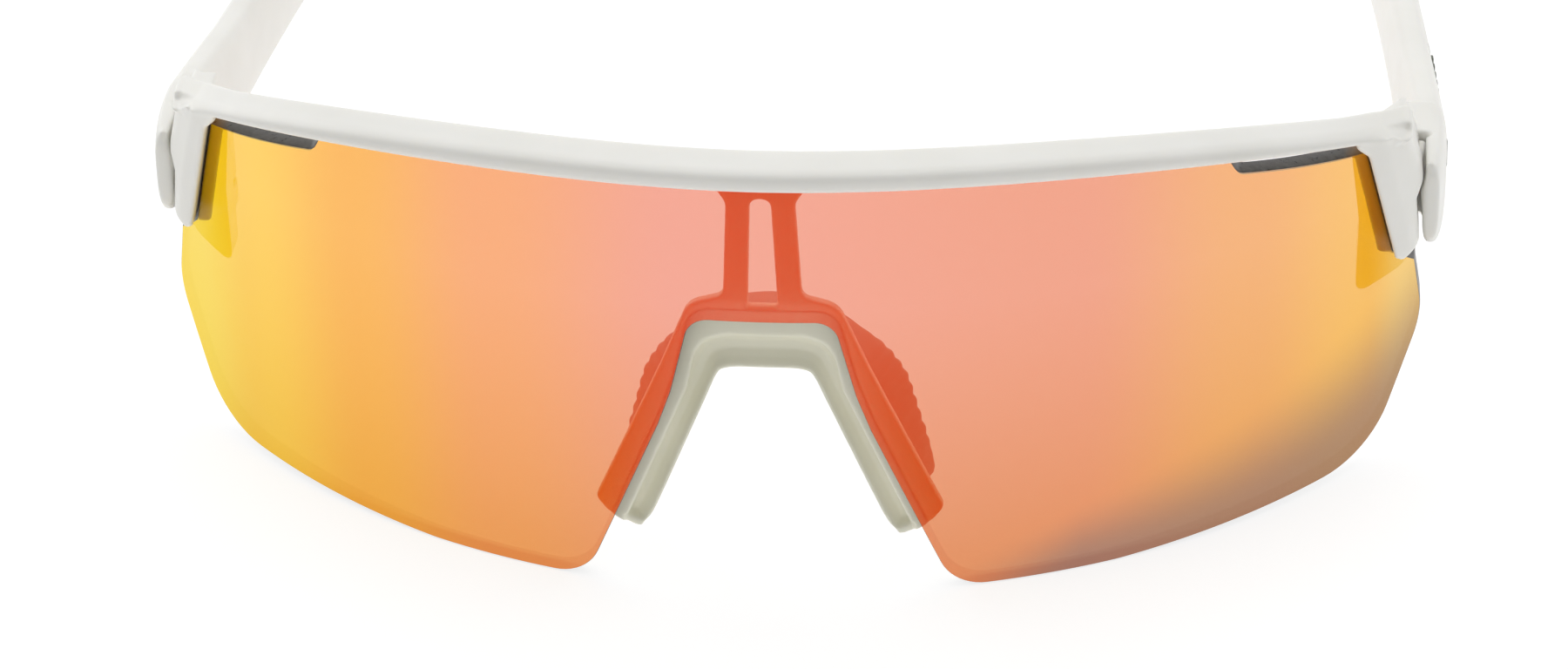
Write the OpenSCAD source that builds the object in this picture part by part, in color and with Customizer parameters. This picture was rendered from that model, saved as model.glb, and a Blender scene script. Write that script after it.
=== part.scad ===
// Wraparound sport sunglasses with a single shield lens and two folding arms.
// +X is the wearer's left, -Y is the way the wearer looks, +Z is up.
// The origin is on the surface that the glasses stand on, under the middle of their box.

/* [Lens] */
// Radius of the lens's front face about its upright axis
lens_r = 85.5; // [84:0.5:88]
// Thickness of the lens
lens_t = 2.1; // [1.8:0.1:2.2]
// Height of the lens's hidden top edge at the middle
lens_h = 52; // [51.6:0.1:52.2]
// Height of the top of the nose cut-out
nose_cut_h = 34.5; // [33.5:0.5:35]

/* [Brow bar] */
// Height of the bar's front lower edge at the middle
bar_low = 51.1; // [50.8:0.1:51.4]
// Height of the bar's top at the middle
bar_ridge = 53.5; // [53:0.1:54]
// How much the bar drops towards its ends, in millimetres per cubic millimetre of half width
bar_drop = 0.000033; // [0.00003:0.000001:0.000036]
// How far the bar stands in front of the lens's face
bar_proud = 1.7; // [1.2:0.1:2]
// How far the bar's rear face is behind the lens's face
bar_depth = 5; // [4:0.5:6]
// Half of the bar's width in the front view
bar_half = 68.3; // [68:0.1:68.5]

/* [Hinge] */
// Distance of each hinge pin from the middle of the glasses
pin_x = 67.8; // [67.5:0.1:67.9]
// Distance of each hinge pin behind the lens's front
pin_y = 45.6; // [45.4:0.1:46]
// Radius of the hinge screw's shaft
pin_r = 0.75; // [0.6:0.05:0.8]
// Radial clearance of the shaft in the arm's knuckle
pin_gap = 0.05; // [0.02:0.01:0.08]
// Radius of the hinge ears and of the arm's knuckle
ear_r = 2.5; // [2.2:0.1:2.5]
// Height of the lower ear's underside
ear_low = 21.8; // [21.6:0.1:22]
// Height of each ear
ear_h = 2.5; // [2.3:0.1:2.6]
// Height of the slot between the ears
slot_h = 7; // [6.6:0.1:7.2]
// Thickness of the nylon washers on each side of the knuckle
washer_t = 0.3; // [0.2:0.05:0.4]

/* [Arms] */
// Distance of the arm's front end behind the lens's front
arm_front = 36.3; // [36:0.1:37]
// Where the arm ends and its rubber ear grip starts
grip_front = 118; // [114:1:122]
// Distance of the ear grip's end behind the lens's front
arm_back = 165; // [165:1:165]
// Distance of the arm's outer face from the middle, at the front
arm_out = 74; // [73.8:0.1:74.4]

/* [Nose piece] */
// Thickness of the clip's plate against the lens
clip_t = 1.3; // [1:0.1:1.5]
// Depth of the clip's legs behind the lens's front face
leg_depth = 5.5; // [5:0.1:5.6]
// Depth of the rubber saddle's rear edge behind the lens's front face
saddle_depth = 14; // [12:0.5:15]
// Thickness of the rubber saddle
saddle_t = 2; // [1.6:0.1:2.2]

/* [Hidden] */
$fn = 96;

// Half of the length of the whole box, so that the origin is under its middle
y_mid = (arm_back - bar_proud) / 2;
fit_gap = 0.1;
tall = 80;
deep = 60;
arc_steps = 6;

// Lens
vent_x = 49.3;
lug_top_x = 64.1;
lug_top_z = 41.1;
lug_low_x = 67.5;
lug_low_z = 26.4;

// Brow bar
bar_step = 4;
groove_h = 1;
groove_gap = 0.2;
rear_wall_half = 48;
// Radius of the arc of the bar's rear face
bar_rear_r = 88.5;
rear_wall_drop = 1.3;

// Half width of the nose clip's head, which sits in the bar
clip_head = 5.6;

// Lugs and hinge blocks
lug_back = 2.2;
wall_front = 2.3;
wall_back = 4.8;
block_back = pin_y - ear_r - 0.4;
slot_low = ear_low + ear_h;
slot_high = slot_low + slot_h;
ear_top = slot_high + ear_h;
knuckle_low = slot_low + washer_t + fit_gap;
knuckle_h = slot_h - 2 * (washer_t + fit_gap);
insert_r = 1.5;
head_r = 1.5;
head_h = 0.8;
block_screw_a = 51.7;
block_screw_z = 38.8;
block_screw_r = 0.7;

// Arms
arm_in = pin_x + ear_r + 0.6;
curl = 1.3;
curl_end = 52;
curl_l = 14;
// The arm's cap over the hinge block's upper ear, and the tab on the arm's front end
cap_gap = 0.3;
cap_h = 1.4;
cap_l = 7.1;
tab_front = 36.9;
tab_back = 43.5;
badge_y = 62;
badge_z = 28.6;
badge_l = 26;
badge_h = 4.4;
badge_t = 0.9;
badge_turn = 3.4;
rib_w = 1.1;
core_r = 1;
core_l = 30;
core_dip = 10;
core_turn = 5.6;

// Bar heights at a distance x from the middle
function drop(x) = bar_drop * pow(abs(x), 3);
function low_z(x) = bar_low - 0.92 * drop(x);
function ridge_z(x) = bar_ridge - 1.03 * drop(x);

function unit(v) = v / norm(v);

// Points of an arc of radius r that rounds the corner b between a and c
function fillet(a, b, c, r) = r <= 0 ? [b] :
    let (u = unit(a - b), w = unit(c - b), half = acos(u * w) / 2,
         o = b + unit(u + w) * r / sin(half),
         s = b + u * r / tan(half) - o,
         e = b + w * r / tan(half) - o,
         s_a = atan2(s.y, s.x),
         turn = (atan2(e.y, e.x) - s_a + 540) % 360 - 180)
    [for (i = [0:arc_steps]) o + r * [cos(s_a + turn * i / arc_steps), sin(s_a + turn * i / arc_steps)]];

// A closed outline from corners given as [x, z, radius]
function rounded(v) = [for (i = [0:len(v) - 1])
    let (a = v[(i + len(v) - 1) % len(v)], b = v[i], c = v[(i + 1) % len(v)])
    each fillet([a.x, a.y], [b.x, b.y], [c.x, c.y], b[2])];

// Corners of the other half, in the order that closes the outline
function mirrored(v) = concat(v, [for (i = [len(v) - 1:-1:0]) [-v[i].x, v[i].y, v[i][2]]]);

// A closed skin over rings that all have the same number of points
module skin(rings) {
    n = len(rings[0]);
    m = len(rings);
    sides = [for (i = [0:m - 2]) for (j = [0:n - 1])
        let (a = i * n + j, b = i * n + (j + 1) % n)
        each [[a, b, b + n], [a, b + n, a + n]]];
    polyhedron([for (ring = rings) each ring],
               concat([[for (j = [n - 1:-1:0]) j], [for (j = [0:n - 1]) (m - 1) * n + j]], sides),
               convexity = 6);
}

// Puts a shape that is drawn from the lens's front into the part's own frame
module placed() translate([0, -y_mid, 0]) children();

// Makes the shape for the wearer's left, or its mirror image for the right
module side(sign) mirror([sign < 0 ? 1 : 0, 0, 0]) children();

// An outline in the front view, as a block that runs through the whole front
module front_cut(points) translate([0, deep, 0]) rotate([90, 0, 0])
    linear_extrude(2 * deep) polygon(points);

// The space between two depths behind the lens's front face, measured along its radius
module shell(front, back) translate([0, lens_r, -fit_gap]) difference() {
    cylinder(r = lens_r - front, h = tall, $fn = 360);
    translate([0, 0, -1]) cylinder(r = lens_r - back, h = tall + 2, $fn = 360);
}

// The bar's ring: its rear face is an arc of a larger radius, so that the bar gets thinner towards its ends
module bar_shell(front) difference() {
    translate([0, lens_r, -fit_gap]) cylinder(r = lens_r - front, h = tall, $fn = 360);
    translate([0, bar_depth + bar_rear_r, -fit_gap - 1]) cylinder(r = bar_rear_r, h = tall + 2, $fn = 360);
}

// A point at an angle about the lens's axis and a depth behind its front face
function bent(a, depth, z) = [(lens_r - depth) * sin(a), lens_r - (lens_r - depth) * cos(a), z];

module at_angle(a) translate([0, lens_r, 0]) rotate([0, 0, a]) children();

// ---- Front ----

lens_half = concat(
    [[0, nose_cut_h, 0], [7.7, nose_cut_h, 2.6], [10, 25.2, 3], [11.5, 20.9, 0.3],
     [20.3, 0, 5.5], [38, 0, 20], [65.8, 1.3, 8], [71.3, 15.4, 10], [70.1, 23.4, 0.3], [68.4, 25.2, 0.4],
     [lug_low_x, lug_low_z, 0.4], [lug_top_x, lug_top_z, 0.4], [50.2, 45.2, 1.6],
     [vent_x, 47, 0.4]],
    [for (x = [vent_x, each [44:-6:2]]) [x, low_z(x) + lens_h - bar_low, 0]]);

module lens() color([0.98, 0.6, 0.35, 0.8]) placed() intersection() {
    shell(0, lens_t);
    front_cut(rounded(mirrored(lens_half)));
}

// A band in the front view out to a half width, from an offset below or above the bar's lower edge
// up to another offset, or up to the bar's top where none is given
function band(half, low_off, high_off = undef) =
    let (xs = [-half, each [-bar_step * floor(half / bar_step):bar_step:half - 1], half])
    concat([for (x = xs) [x, low_z(x) + low_off]],
           [for (i = [len(xs) - 1:-1:0]) [xs[i], is_undef(high_off) ? ridge_z(xs[i]) : low_z(xs[i]) + high_off]]);

// The lug that reaches down beside the lens at each end of the bar
lug = [[62.9, 44.3, 0], [66.4, 43.1, 1], [68.7, 41.4, 1.5], [70.6, 34.4, 2], [70.6, 33.4, 0.2],
       [70.1, 32, 0.2], [70.5, 26.6, 0.5], [68.6, 25.6, 0.5], [lug_low_x + 0.2, 26.6, 0.2],
       [lug_top_x + 0.2, lug_top_z + 0.2, 0.3], [63.1, 42.6, 0.5]];

// The pocket in the bar's rear wall that takes the head of the nose clip
module clip_pocket() intersection() {
    shell(lens_t, lens_t + clip_t + 2 * fit_gap);
    front_cut([for (p = [[-1, 0], [1, 0], [1, 1], [-1, 1]])
        [p.x * (clip_head + fit_gap), bar_low - 5 + p.y * (5 + groove_h)]]);
}

module front_frame() color([0.93, 0.93, 0.91]) placed() {
    difference() {
        intersection() {
            bar_shell(-bar_proud);
            front_cut(band(bar_half, 0));
        }
        intersection() {
            shell(-groove_gap, lens_t + groove_gap);
            front_cut(band(bar_half + 5, -5, groove_h));
        }
        clip_pocket();
    }
    difference() {
        intersection() {
            bar_shell(lens_t + groove_gap);
            front_cut(band(rear_wall_half, -rear_wall_drop, groove_h));
        }
        clip_pocket();
    }
    for (sign = [-1, 1]) side(sign) difference() {
        intersection() {
            shell(-1.6, lug_back);
            front_cut(rounded(lug));
        }
        block_screw_hole(block_screw_r, 0.6);
    }
}

// ---- Nose piece ----

clip_half = [[0, 51.9, 0], [clip_head, 51.9, 0], [5.4, 50.6, 0.3], [3.7, 48, 1.2], [4.3, 35.6, 0.8],
             [8.4, 34.6, 2.5], [11.4, 27, 3], [19.2, 9.2, 0.8], [17.6, 7.4, 0.8]];
leg_half = [[0, 35.4, 0], [8.2, 35.2, 2.5], [11.2, 27, 3], [17.4, 8.4, 1], [14.3, 5.6, 1],
            [12.8, 7, 0.6], [5, 27, 1.4], [0, 27, 0]];

module nose_bridge() color([0.8, 0.8, 0.75]) placed() {
    difference() {
        intersection() {
            shell(lens_t + fit_gap, lens_t + fit_gap + clip_t);
            front_cut(rounded(mirrored(clip_half)));
        }
        front_cut(rounded([[-1.1, 48.2, 0.9], [1.1, 48.2, 0.9], [1.6, 33.6, 1.2], [-1.6, 33.6, 1.2]]));
        front_cut(rounded([[-5, 27, 1.4], [5, 27, 1.4], [15.4, 1, 0], [-15.4, 1, 0]]));
        front_cut([[15.9, 4], [19, 4], [19, 7.4], [15.9, 7.4]]);
    }
    intersection() {
        shell(lens_t + fit_gap, leg_depth);
        front_cut(rounded(concat(leg_half, [for (i = [6:-1:1]) [-leg_half[i].x, leg_half[i].y,
                                                                 leg_half[i][2]]])));
    }
}

// Front and rear edges of the rubber saddle, from its middle to the wearer's left wing tip
saddle_front = [[0, 31.2], [4.6, 31], [7.2, 28.6], [8.9, 24], [10.6, 19.5], [12.4, 15], [14.2, 10.5], [15, 8.4]];
saddle_rear = [[0, 29.9], [4.2, 29.2], [7.6, 26.8], [11.6, 23.2], [13.9, 19.6], [15, 15], [16.3, 10], [17.2, 6.4]];

// One ring of the saddle: a strip from its front edge to its rear edge
function saddle_ring(i, sign) =
    let (last = len(saddle_front) - 1, lo = max(i - 1, 0), hi = min(i + 1, last),
         d = unit(saddle_rear[hi] - saddle_rear[lo]), n = [-d.y, d.x] * saddle_t / 2,
         f = saddle_front[i], b = saddle_rear[i], mid = (f + b) / 2 - n * 0.5,
         front = leg_depth + 0.1, half = (front + saddle_depth) / 2)
    [for (p = [[f - n, front], [f + n, front], [mid + n, half], [b + n, saddle_depth - 0.5],
               [b, saddle_depth], [b - n, saddle_depth - 0.5], [mid - n, half]])
        bent(asin(sign * p[0].x / (lens_r - p[1])), p[1], p[0].y)];

function saddle_rings() =
    let (last = len(saddle_front) - 1)
    concat([for (i = [last:-1:1]) saddle_ring(i, -1)], [for (i = [0:last]) saddle_ring(i, 1)]);

module nose_saddle() color([0.74, 0.75, 0.7]) placed() skin(saddle_rings());

// ---- Hinges ----

wall = [[62.4, 40.9, 0.3], [63.6, 31, 6], [63.5, 21.4, 1.5], [69.6, 21.4, 1.5], [70.2, 27, 2],
        [70.2, 35, 2], [68.4, 40.9, 1]];

// A hole along the lens's radius, from the hinge block's wall into the lug
module block_screw_hole(r, depth) at_angle(block_screw_a) translate([0, -(lens_r - bar_depth - 1), block_screw_z])
    rotate([90, 0, 0]) cylinder(r = r + fit_gap / 2, h = bar_depth + 1 + depth, $fn = 32);

module hinge_block(sign) color([0.9, 0.9, 0.88]) placed() side(sign) difference() {
    union() {
        intersection() {
            shell(wall_front, wall_back);
            front_cut(rounded(wall));
        }
        intersection() {
            translate([0, lens_r, 0]) cylinder(r = lens_r - wall_front, h = tall, $fn = 360);
            translate([pin_x - ear_r, 36, ear_low]) cube([2 * ear_r, block_back - 36, ear_top - ear_low]);
        }
        for (z = [ear_low, slot_high]) {
            translate([pin_x, pin_y, z]) cylinder(r = ear_r, h = ear_h);
            translate([pin_x - ear_r, block_back - 1, z]) cube([2 * ear_r, pin_y - block_back + 1, ear_h]);
        }
    }
    translate([pin_x, pin_y, slot_low]) cylinder(r = ear_r + cap_gap, h = slot_h);
    translate([pin_x, pin_y, ear_top]) cylinder(r = ear_r + cap_gap, h = cap_h + 2 * cap_gap);
    translate([pin_x, pin_y, slot_high - 1]) cylinder(r = insert_r, h = ear_h + 2, $fn = 48);
    translate([pin_x, pin_y, ear_low - 1]) cylinder(r = pin_r + pin_gap, h = ear_h + 2, $fn = 48);
    block_screw_hole(block_screw_r, 0.6);
}

module block_screws() color([0.7, 0.7, 0.72]) placed() for (sign = [-1, 1]) side(sign)
    at_angle(block_screw_a) translate([0, -(lens_r - wall_back) + 0.05, block_screw_z]) {
        rotate([90, 0, 0]) cylinder(r = block_screw_r, h = wall_back, $fn = 32);
        difference() {
            rotate([-90, 0, 0]) cylinder(r = 1.3, h = head_h, $fn = 48);
            translate([-0.15, head_h - 0.3, -2]) cube([0.3, 1, 4]);
            translate([-2, head_h - 0.3, -0.15]) cube([4, 1, 0.3]);
        }
    }

module hinge_screws() color([0.72, 0.72, 0.74]) placed() for (sign = [-1, 1]) side(sign)
    translate([pin_x, pin_y, 0]) {
        translate([0, 0, ear_low - 0.1]) cylinder(r = pin_r, h = ear_top - ear_low - 0.1, $fn = 48);
        difference() {
            translate([0, 0, ear_low - head_h - 0.05]) cylinder(r = head_r, h = head_h, $fn = 48);
            translate([-2, -0.2, ear_low - head_h - 0.7]) cube([4, 0.4, 1]);
        }
    }

module hinge_inserts() color([0.8, 0.65, 0.3]) placed() for (sign = [-1, 1]) side(sign)
    translate([pin_x, pin_y, slot_high]) difference() {
        cylinder(r = insert_r - 0.02, h = ear_h, $fn = 48);
        translate([0, 0, -1]) cylinder(r = pin_r + 0.02, h = ear_h + 2, $fn = 48);
    }

module hinge_washers() color([0.3, 0.3, 0.31]) placed() for (sign = [-1, 1]) side(sign)
    for (z = [slot_low + 0.02, slot_high - washer_t - 0.02])
        translate([pin_x, pin_y, z]) difference() {
            cylinder(r = ear_r - 0.3, h = washer_t, $fn = 48);
            translate([0, 0, -1]) cylinder(r = pin_r + pin_gap, h = washer_t + 2, $fn = 48);
        }

// ---- Arms ----

// Outer face, thickness, lower edge and half height of the arm at a distance y behind the lens's front
function arm_x(y) = let (t = (y - 40) / 100)
    arm_out - 3.4 * t - 4 * t * t - curl * pow(max(0, curl_end - y) / curl_l, 2);
function arm_w(y) = lookup(y, [[36.3, 1.8], [40, 2.2], [45, 2.6], [49, 2.9], [52, 4.4], [62, 4.6], [80, 4.5],
                               [118, 4.7], [150, 5.4], [162, 4.8], [165, 2]]);
function arm_low(y) = lookup(y, [[36.3, 26.4], [37.5, 25], [40, 23.7], [44, 22.2], [52, 20.9], [70, 20.8],
                                 [100, 19.4], [118, 17.6], [126, 15.9], [135, 13], [148, 7], [156, 2.2],
                                 [159, 0.7], [161, 0.1], [162, 0], [163.6, 0.6], [165, 2.2]]);
function arm_h(y) = lookup(y, [[36.3, 4], [37.5, 5.1], [40, 5.9], [44, 6.65], [52, 7.1], [62, 6.3], [70, 5.6],
                               [100, 4.7], [118, 4.5], [150, 4.7], [158, 4.4], [162, 3.5], [163.6, 2.6],
                               [165, 1]]);

corner_n = 16;
function soft(v) = sign(v) * pow(abs(v), 0.55);

// The arm's section, grown by a skin thickness
function arm_ring(y, grow) = [for (i = [0:corner_n - 1])
    let (a = 360 * i / corner_n, w = arm_w(y) / 2 + grow, h = arm_h(y))
    [arm_x(y) - arm_w(y) / 2 + w * soft(cos(a)), y, arm_low(y) + h + h * soft(sin(a))]];

// A straight rod through the end of the arm and the start of the ear grip
module core_rod(r, l) translate([arm_x(grip_front) - arm_w(grip_front) / 2, grip_front,
                                 arm_low(grip_front) + arm_h(grip_front)])
    rotate([-90, 0, 0]) rotate([-core_dip, -core_turn, 0]) translate([0, 0, -l / 2]) cylinder(r = r, h = l, $fn = 32);

// The badge's own frame: +X out of the arm, with its origin on the floor of the pocket
module on_badge() translate([arm_x(badge_y) - badge_t, badge_y, badge_z])
    rotate([-1.2, 0, badge_turn]) children();

module badge_box(l, h, t) translate([0, -l / 2, -h / 2]) cube([t, l, h]);

// The tab on the arm's front end that closes the step in the lug's outer edge
module front_tab() translate([0, tab_back, 0]) rotate([90, 0, 0]) linear_extrude(tab_back - tab_front)
    polygon([[70.4, 31.7], [70.9, 26.4], [71.7, 26.4], [71.9, ear_top + cap_gap + cap_h],
             [70.9, ear_top + cap_gap + cap_h], [70.9, 33.2]]);

module temple_arm(sign) color([0.94, 0.94, 0.93]) placed() side(sign) difference() {
    union() {
        skin([for (y = [arm_front, tab_front, 37.8, 39, 41, each [43:2:53], each [56:3.5:115.5], grip_front])
            arm_ring(y, 0)]);
        translate([pin_x, pin_y, knuckle_low]) cylinder(r = ear_r, h = knuckle_h);
        translate([pin_x, pin_y - 0.8, knuckle_low]) cube([arm_in - pin_x + 1, 0.8 + ear_r, knuckle_h]);
        translate([pin_x + 1, pin_y + 1, knuckle_low]) cube([arm_in - pin_x, 5, knuckle_h]);
        translate([pin_x, pin_y, ear_top + cap_gap]) cylinder(r = ear_r, h = cap_h);
        translate([pin_x, pin_y - 1.1, ear_top + cap_gap]) cube([arm_in - pin_x + 1, cap_l, cap_h]);
        front_tab();
    }
    translate([pin_x, pin_y, knuckle_low - 1]) cylinder(r = pin_r + pin_gap, h = knuckle_h + 2, $fn = 48);
    on_badge() badge_box(badge_l, badge_h, 3);
    core_rod(core_r + 0.05, core_l + 0.4);
}

module temple_badge(sign) color([0.45, 0.47, 0.44]) placed() side(sign) on_badge() {
    translate([0.02, 0, 0]) badge_box(badge_l - 0.3, badge_h - 0.3, badge_t - 0.25);
    for (i = [-4:4]) translate([badge_t - 0.35, i * badge_l / 10, 0])
        badge_box(rib_w, badge_h - 1, 0.45);
}

module tip_core(sign) color([0.6, 0.6, 0.62]) placed() side(sign) core_rod(core_r, core_l);

module ear_grip(sign) color([0.85, 0.85, 0.83]) placed() side(sign) difference() {
    skin([for (y = [grip_front + 0.05, 119, each [122:4:154], 157, 159, 161, 162, 163, 164, arm_back])
        arm_ring(y, y < 119 ? 0 : 0.2)]);
    core_rod(core_r + 0.05, core_l + 0.4);
}

front_frame();
lens();
nose_bridge();
nose_saddle();
hinge_block(1);  // hinge_block_left
hinge_block(-1);  // hinge_block_right
block_screws();
hinge_screws();
hinge_inserts();
hinge_washers();
temple_arm(1);  // temple_arm_left
temple_arm(-1);  // temple_arm_right
temple_badge(1);  // temple_badge_left
temple_badge(-1);  // temple_badge_right
tip_core(1);  // tip_core_left
tip_core(-1);  // tip_core_right
ear_grip(1);  // ear_grip_left
ear_grip(-1);  // ear_grip_right
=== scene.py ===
"""Looks of the wraparound sport sunglasses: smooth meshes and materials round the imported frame.

Shapes are drawn in millimetres in the lens's own frame: x to the wearer's left, y behind the lens's front,
z above the surface that the glasses stand on. to_row() turns them into the frame's metres.
"""

import math

import bpy
import numpy as np
from mathutils import Matrix, Vector, geometry


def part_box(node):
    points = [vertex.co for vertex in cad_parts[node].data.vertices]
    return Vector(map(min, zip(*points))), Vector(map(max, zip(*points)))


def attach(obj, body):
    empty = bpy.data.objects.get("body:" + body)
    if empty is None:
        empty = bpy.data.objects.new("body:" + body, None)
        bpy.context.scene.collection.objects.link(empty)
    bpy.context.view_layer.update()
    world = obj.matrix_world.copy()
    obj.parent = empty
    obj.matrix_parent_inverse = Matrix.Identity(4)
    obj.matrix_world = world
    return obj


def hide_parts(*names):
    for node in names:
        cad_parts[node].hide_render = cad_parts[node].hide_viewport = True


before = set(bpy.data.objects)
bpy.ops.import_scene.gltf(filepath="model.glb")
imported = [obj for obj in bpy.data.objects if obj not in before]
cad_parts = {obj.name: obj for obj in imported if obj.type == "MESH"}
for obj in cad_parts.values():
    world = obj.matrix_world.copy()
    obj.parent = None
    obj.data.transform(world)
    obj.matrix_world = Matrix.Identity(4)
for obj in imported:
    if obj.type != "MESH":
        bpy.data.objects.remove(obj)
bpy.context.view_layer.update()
MM = 0.001
FRONT_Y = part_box("lens")[0].y / MM

# Lens
LENS_R = 85.5
LENS_T = 2.1

# ---------------------------------------------------------------- helpers


def to_row(points):
    """Millimetres in the lens's frame to metres in the row's frame."""
    p = np.asarray(points, float).copy()
    p[..., 1] += FRONT_Y
    return p * MM


def mesh_object(name, verts, faces, smooth=True):
    mesh = bpy.data.meshes.new(name)
    mesh.from_pydata([tuple(v) for v in to_row(verts)], [], [tuple(int(i) for i in f) for f in faces])
    mesh.validate()
    if smooth:
        mesh.polygons.foreach_set("use_smooth", [True] * len(mesh.polygons))
    obj = bpy.data.objects.new(name, mesh)
    bpy.context.scene.collection.objects.link(obj)
    return obj


def join_meshes(parts):
    """One (verts, faces) pair from several."""
    verts, faces, start = [], [], 0
    for v, f in parts:
        verts.append(np.asarray(v, float))
        faces += [[i + start for i in face] for face in f]
        start += len(v)
    return np.concatenate(verts), faces


def mirror_mesh(part):
    v, f = part
    v = np.asarray(v, float) * (-1, 1, 1)
    return v, [list(face)[::-1] for face in f]


def apply_modifiers(obj):
    deps = bpy.context.evaluated_depsgraph_get()
    mesh = bpy.data.meshes.new_from_object(obj.evaluated_get(deps))
    obj.modifiers.clear()
    obj.data = mesh
    return obj


def remesh(obj, voxel, smooth_steps, factor=0.5):
    """Melts overlapping solids into one moulded skin."""
    mod = obj.modifiers.new("melt", "REMESH")
    mod.mode = "VOXEL"
    mod.voxel_size = voxel * MM
    mod.use_smooth_shade = True
    soften = obj.modifiers.new("soften", "SMOOTH")
    soften.factor = factor
    soften.iterations = smooth_steps
    return apply_modifiers(obj)


def fillet(a, b, c, r, steps=6):
    """Points of an arc of radius r that rounds the corner b between a and c."""
    a, b, c = (np.array(p, float) for p in (a, b, c))
    if r <= 0:
        return [b]
    u = (a - b) / np.linalg.norm(a - b)
    w = (c - b) / np.linalg.norm(c - b)
    half = math.acos(np.clip(u @ w, -1, 1)) / 2
    o = b + (u + w) / np.linalg.norm(u + w) * r / math.sin(half)
    s, e = b + u * r / math.tan(half) - o, b + w * r / math.tan(half) - o
    s_a, e_a = math.atan2(s[1], s[0]), math.atan2(e[1], e[0])
    turn = (e_a - s_a + math.pi) % (2 * math.pi) - math.pi
    return [o + r * np.array([math.cos(s_a + turn * i / steps), math.sin(s_a + turn * i / steps)])
            for i in range(steps + 1)]


def rounded(corners, steps=6):
    """A closed outline from corners given as (x, z, radius)."""
    n = len(corners)
    out = []
    for i in range(n):
        a, b, c = corners[i - 1], corners[i], corners[(i + 1) % n]
        out += fillet(a[:2], b[:2], c[:2], b[2], steps)
    return np.array(out)


def mirrored(corners):
    """The corners of the right half, then those of the left half, so that the outline closes."""
    return list(corners) + [(-x, z, r) for x, z, r in reversed(corners)]


def resample(loop, step):
    """The same closed outline with points no further apart than step."""
    out = []
    for a, b in zip(loop, np.roll(loop, -1, 0)):
        n = max(1, int(math.ceil(np.linalg.norm(b - a) / step)))
        if np.linalg.norm(b - a) > 1e-6:
            out += [a + (b - a) * i / n for i in range(n)]
    return np.array(out)


def area_of(loop):
    x, z = loop[:, 0], loop[:, 1]
    return 0.5 * np.sum(x * np.roll(z, -1) - z * np.roll(x, -1))


def inward(loop):
    """Unit normals towards the material of a loop that runs anticlockwise round it."""
    e = np.roll(loop, -1, 0) - np.roll(loop, 1, 0)
    n = np.stack([-e[:, 1], e[:, 0]], 1)
    return n / np.maximum(np.linalg.norm(n, axis=1, keepdims=True), 1e-9)


def inside(points, loop):
    """Which points are inside a closed outline."""
    x, z = points[:, 0], points[:, 1]
    result = np.zeros(len(points), bool)
    for (x0, z0), (x1, z1) in zip(loop, np.roll(loop, -1, 0)):
        crosses = (z0 > z) != (z1 > z)
        at = (x1 - x0) * (z - z0) / np.where(z1 == z0, 1e-12, z1 - z0) + x0
        result ^= crosses & (x < at)
    return result


def bent(x, z, off):
    """A front-view point at a depth behind the lens's front face."""
    x, z, off = np.broadcast_arrays(np.asarray(x, float), np.asarray(z, float), np.asarray(off, float))
    r = LENS_R - off
    return np.stack([x, LENS_R - np.sqrt(np.maximum(r * r - x * x, 1e-6)), z], -1)


# A plate's flat faces start this far inside its rounded rim, and their inner points keep away from it by this
# share of the rim's spacing
FACE_INSET, NEAREST = 0.08, 0.7


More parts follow.
